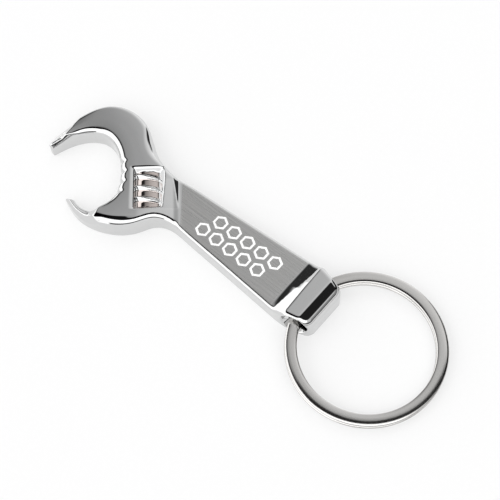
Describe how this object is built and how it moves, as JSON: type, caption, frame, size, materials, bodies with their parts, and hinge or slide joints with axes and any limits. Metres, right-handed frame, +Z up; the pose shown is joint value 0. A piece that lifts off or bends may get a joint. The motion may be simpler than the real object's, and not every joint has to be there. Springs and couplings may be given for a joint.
{
  "type": "bottle opener key ring",
  "caption": "Small chromed bottle opener shaped like an adjustable spanner, with open jaws, a satin handle panel and a flat double-coil key ring through its eye.",
  "frame": {"origin": "middle of the footprint, on the surface that the opener lies on", "axes": "+X along the handle from the jaws to the key ring, +Y across the handle, +Z up off the table"},
  "size_m": [0.0962, 0.032, 0.0061],
  "materials": {
    "plated_casting": "polished chrome plate, with a satin brushed panel on the handle",
    "ring_wire": "nickel plate over flat spring wire, lightly brushed round the ring"
  },
  "bodies": {
    "opener": {"opener_body": "plated_casting"},
    "key_ring": {"split_ring": "ring_wire"}
  },
  "joints": [
    {"name": "ring_swing", "type": "hinge", "parent": "opener", "child": "key_ring", "pos_m": [0.01801, 0, 0.00305], "axis": [0, -1, 0], "range_deg": [0, 176]}
  ]
}
